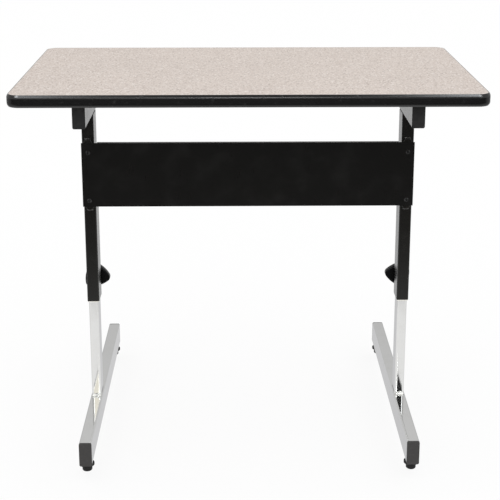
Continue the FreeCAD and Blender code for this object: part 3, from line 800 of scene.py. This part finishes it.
@dataclass
class Leg:
    """One telescopic leg: arm, sleeve, clamp, post, foot and glides."""

    side: Side
    bead_length: float = 0.0125
    bead_leg: float = 0.0028
    bead_bite: float = 0.0008
    bead_ripples: int = 3
    coat: Finish = field(default_factory=PowderCoat)
    # The beads' coat is about four times paler than the sleeves': a painted highlight for the light that the
    # bracket ends catch.
    bead_highlight_coat: Finish = field(default_factory=lambda: PowderCoat(
        name="bead_painted_highlight_coat", ground=(0.030, 0.029, 0.027), dust=(0.060, 0.058, 0.055), roughness=0.16,
        sheen=1.0))
    post_plate: Finish = field(default_factory=lambda: BrightPlate(name="post_plate"))
    foot_plate: Finish = field(default_factory=lambda: BrightPlate(name="foot_plate", run=Run.Y))
    weld_metal: Finish = field(default_factory=WeldMetal)
    zinc: Finish = field(default_factory=ZincPlate)
    stud_zinc: Finish = field(default_factory=lambda: ZincPlate(
        name="zinc_stud", run=Run.Z, thread_from=0.0197))
    screw_zinc: Finish = field(default_factory=lambda: ZincPlate(name="zinc_clamp_screw", run=Run.Y))
    nylon: Finish = field(default_factory=Nylon)
    arm_cap: Finish = field(default_factory=lambda: MouldedPlastic(
        name="arm_cap_plastic", colour=(0.013, 0.013, 0.013)))
    foot_cap: Finish = field(default_factory=lambda: MouldedPlastic(
        name="foot_cap_plastic", colour=(0.046, 0.044, 0.043), worn=(0.075, 0.073, 0.071)))
    knob: Finish = field(default_factory=lambda: MouldedPlastic(
        name="knob_plastic", colour=(0.0030, 0.0030, 0.0033), worn=(0.010, 0.010, 0.0105), roughness=0.28,
        sheen=0.1))
    glide: Finish = field(default_factory=lambda: MouldedPlastic(
        name="glide_plastic", colour=(0.010, 0.010, 0.0095)))

    def named(self, piece: str) -> str:
        """This leg's own name for a piece."""
        return f"{self.side.value}_{piece}"

    def dress(self) -> None:
        """Give every piece of the leg its finish and lay its weld beads."""
        dress(self.coat, self.named("top_arm"), self.named("sleeve"), self.named("panel_bracket"))
        dress(self.post_plate, self.named("post"))
        dress(self.foot_plate, self.named("foot"))
        dress(self.zinc, self.named("clamp_nut"), self.named("glide_nuts"))
        dress(self.screw_zinc, self.named("clamp_screw"))
        dress(self.nylon, self.named("sleeve_guide"), self.named("post_plug"), self.named("clamp_pad"))
        dress(self.knob, self.named("clamp_knob"))
        for end in End:
            dress(self.arm_cap, self.named(f"arm_{end.value}_cap"))
            dress(self.foot_cap, self.named(f"foot_{end.value}_cap"))
            dress(self.glide, self.named(f"{end.value}_glide_pad"))
            dress(self.stud_zinc, self.named(f"{end.value}_glide_stud"))
        dress(self.weld_metal, self.named("post_welds"))
        self.weld_post()
        self.weld_bracket()

    def weld_post(self) -> bpy.types.Object:
        """Lay rippled beads where the front and rear of the post meet the foot.

        Returns:
            The piece with both beads.
        """
        low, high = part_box(self.named("post_welds"))
        post_low, post_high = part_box(self.named("post"))
        leg = high.z - low.z
        mesh = bmesh.new()
        middle = (low.x + high.x) / 2
        for y, outward in ((post_low.y, -1.0), (post_high.y, 1.0)):
            RippledBead(Vector((middle, y, low.z)), outward, high.x - low.x, leg).build(mesh)
        piece = new_piece(self.named("rippled_welds"), mesh)
        self.weld_metal.put_on(piece)
        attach(piece, self.named("leg"))
        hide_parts(self.named("post_welds"))
        return piece

    def weld_bracket(self) -> bpy.types.Object:
        """Lay short painted beads where the two ends of the panel bracket meet the sleeve.

        Returns:
            The piece with both beads.
        """
        low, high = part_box(self.named("panel_bracket"))
        middle = (low.x + high.x) / 2
        mesh = bmesh.new()
        for z, rise in ((high.z - self.bead_bite, 1.0), (low.z + self.bead_bite, -1.0)):
            corner = Vector((middle, high.y, z))
            RippledBead(corner, -1.0, self.bead_length, self.bead_leg, self.bead_ripples, rise).build(mesh)
        piece = new_piece(self.named("bracket_welds"), mesh)
        # A paler coat than the sleeve's: a painted highlight on the beads.
        self.bead_highlight_coat.put_on(piece)
        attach(piece, "upper_frame")
        return piece


@dataclass(frozen=True)
class StudioSheet:
    """A flat sheet in the studio that faces its aim."""

    name: str
    place: Spot
    width: float
    height: float
    glow: float
    tint: Colour = (1.0, 1.0, 1.0)
    aim: Spot = (0.0, 0.0, 0.5)

    def turned(self, front: str) -> Quaternion:
        """The turn that makes the sheet face its aim.

        Args:
            front: the sheet's own axis that faces forward, such as -Z.

        Returns:
            The turn.
        """
        return (Vector(self.aim) - Vector(self.place)).to_track_quat(front, "Y")


@dataclass(frozen=True)
class Lamp(StudioSheet):
    """A soft box on a stand."""

    def switch_on(self) -> None:
        """Stand the lamp up and point it at the table."""
        data = bpy.data.lights.new(self.name, "AREA")
        data.shape = "RECTANGLE"
        data.size = self.width
        data.size_y = self.height
        data.color = self.tint
        data.energy = self.glow * math.pi * self.width * self.height
        lamp = bpy.data.objects.new(self.name, data)
        lamp.location = self.place
        lamp.rotation_euler = self.turned("-Z").to_euler()
        lamp.visible_camera = False
        bpy.context.scene.collection.objects.link(lamp)
        LOG.info("%s: lamp", self.name)


@dataclass(frozen=True)
class Card(StudioSheet):
    """A sheet of card that only shows in what is glossy, dark or softly glowing."""

    def hang(self) -> None:
        """Hang the card with its face towards the table."""
        turn = self.turned("Z").to_matrix().to_4x4()
        size = Matrix.Diagonal((self.width, self.height, 1.0, 1.0))
        mesh = bmesh.new()
        bmesh.ops.create_grid(mesh, x_segments=1, y_segments=1, size=0.5,
                              matrix=Matrix.Translation(self.place) @ turn @ size)
        card = new_piece(self.name, mesh)
        paint, bench = new_paint(self.name)
        glow = bench.add("Emission", None, {"Color": (*self.tint, 1.0), "Strength": self.glow})
        bench.add("OutputMaterial", None, {"Surface": glow})
        card.data.materials.append(paint)
        card.visible_camera = False
        card.visible_diffuse = False
        card.visible_transmission = False
        card.visible_shadow = False


@dataclass
class Studio:
    """White studio: a pale floor, soft boxes, cards and the camera.

    Lengths are in metres, the camera's angles in degrees, and its lens and sensor in millimetres. The
    fades are where the floor's mirror picture darkens, towards the front and towards both sides.
    """

    floor_level: float = -0.0125
    floor_size: float = 30.0
    floor_colour: Colour = (0.98, 0.98, 0.98)
    floor_glow: float = 0.85
    floor_fade: Span = (-1.46, -0.70)
    floor_dark: float = 0.03
    side_fade: Span = (0.75, 1.9)
    side_loss: float = 0.6
    ambient: float = 1.0
    backdrop: float = 0.76
    lamps: Tuple[Lamp, ...] = (
        Lamp("left_soft_box", (-1.35, -3.3, 1.95), 0.95, 1.1, glow=3.2, tint=(0.97, 0.99, 1.0)),
        Lamp("right_soft_box", (1.65, -3.0, 1.95), 1.0, 1.1, glow=2.8, tint=(0.94, 0.97, 1.0)),
    )
    cards: Tuple[Card, ...] = (
        Card("dark_card_behind", (0.96, -4.2, 2.0), 1.0, 1.0, glow=0.03),
        Card("dark_card_above", (0.05, -1.9, 3.4), 1.6, 4.2, glow=0.2),
        Card("warm_card", (-0.72, -3.25, 1.55), 0.34, 0.5, glow=1.55, tint=(1.0, 0.96, 0.86)),
        Card("left_long_card", (-1.16, -1.70, 2.60), 0.38, 2.7, glow=9.0, tint=(0.92, 0.97, 1.0),
             aim=(-1.16, 0.05, 0.35)),
        Card("left_thin_card", (-0.84, -1.70, 2.60), 0.24, 2.7, glow=4.0, tint=(0.94, 0.97, 1.0),
             aim=(-0.84, 0.05, 0.35)),
        Card("right_long_card", (1.03, -1.70, 2.60), 0.50, 2.7, glow=8.0, tint=(0.92, 0.97, 1.0),
             aim=(1.03, 0.05, 0.35)),
        Card("left_corner_card", (-0.82, -0.82, 1.30), 0.21, 0.42, glow=15.0, tint=(0.96, 0.98, 1.0),
             aim=(-0.45, -0.27, 0.75)),
        Card("right_corner_card", (0.74, -0.87, 1.30), 0.21, 0.42, glow=15.0, tint=(0.94, 0.97, 1.0),
             aim=(0.45, -0.27, 0.75)),
        Card("front_card", (0.0, -3.4, 1.45), 0.6, 0.35, glow=12.0),
    )
    camera_place: Spot = (-0.0291, -2.5243, 1.2145)
    camera_pitch: float = 14.866
    camera_yaw: float = 0.778
    lens: float = 88.484
    sensor: float = 36.0
    shift: float = -0.16

    def set_up(self) -> None:
        """Build the whole studio."""
        bpy.context.scene.view_settings.view_transform = "Standard"
        self.fill_world()
        self.lay_floor()
        for lamp in self.lamps:
            lamp.switch_on()
        for card in self.cards:
            card.hang()
        self.stand_camera()

    @staticmethod
    def looks(bench: Bench) -> Tuple[Wire, Wire]:
        """Tell the rays that look from those that light.

        Args:
            bench: the bench that the two are wired on.

        Returns:
            One for what the camera or glass sees, and one for what metal and gloss mirror.
        """
        camera = bench.add("LightPath", output="Is Camera Ray")
        through = bench.add("LightPath", output="Is Transmission Ray")
        glossy = bench.add("LightPath", output="Is Glossy Ray")
        return camera.most(through), glossy

    def fill_world(self) -> None:
        """White to look at, a little greyer in mirrors, and even as light."""
        world = bpy.data.worlds.new("studio")
        world.use_nodes = True
        bench = Bench(world.node_tree)
        seen, mirrored = self.looks(bench)
        strength = seen + (1 - seen) * (mirrored * self.backdrop + (1 - mirrored) * self.ambient)
        light = bench.add("Background", None, {"Color": WHITE, "Strength": strength})
        bench.add("OutputWorld", None, {"Surface": light})
        bpy.context.scene.world = world

    def lay_floor(self) -> None:
        """Pale floor that keeps a soft shadow and, in mirrors, falls off towards the front of the room."""
        mesh = bmesh.new()
        bmesh.ops.create_grid(mesh, x_segments=1, y_segments=1, size=self.floor_size / 2,
                              matrix=Matrix.Translation((0.0, 0.0, self.floor_level)))
        floor = new_piece("studio_floor", mesh)
        paint, bench = new_paint("studio_floor")
        seen, mirrored = self.looks(bench)
        side = bench.along(Run.X)
        fade = self.floor_dark + bench.along(Run.Y).ramp(*self.floor_fade) * (1 - self.floor_dark)
        fade = fade * (1 - side.most(side * -1.0).ramp(*self.side_fade) * self.side_loss)
        matt = bench.add("BsdfDiffuse", None, {"Color": (*self.floor_colour, 1.0)})
        glow = bench.add("Emission", None, {"Color": WHITE, "Strength": seen + mirrored * fade})
        share = seen * self.floor_glow + mirrored
        mixed = bench.add("MixShader", None, {0: share, 1: matt, 2: glow})
        bench.add("OutputMaterial", None, {"Surface": mixed})
        floor.data.materials.append(paint)

    def stand_camera(self) -> None:
        """Camera at the photograph's angle."""
        data = bpy.data.cameras.new("camera")
        data.sensor_width = self.sensor
        data.lens = self.lens
        data.shift_y = self.shift
        camera = bpy.data.objects.new("camera", data)
        camera.location = self.camera_place
        pitch = math.radians(self.camera_pitch)
        yaw = math.radians(self.camera_yaw)
        level = math.cos(pitch)
        forward = Vector((math.sin(yaw) * level, math.cos(yaw) * level, -math.sin(pitch)))
        camera.rotation_euler = forward.to_track_quat("-Z", "Y").to_euler()
        bpy.context.scene.collection.objects.link(camera)
        bpy.context.scene.camera = camera


def main() -> None:
    """Dress the table and set up its studio."""
    logging.basicConfig(level=logging.INFO, format="%(message)s")
    Worktop().dress()
    ModestyPanel().dress()
    for side in Side:
        Leg(side).dress()
    Studio().set_up()


if __name__ == "__main__":
    main()
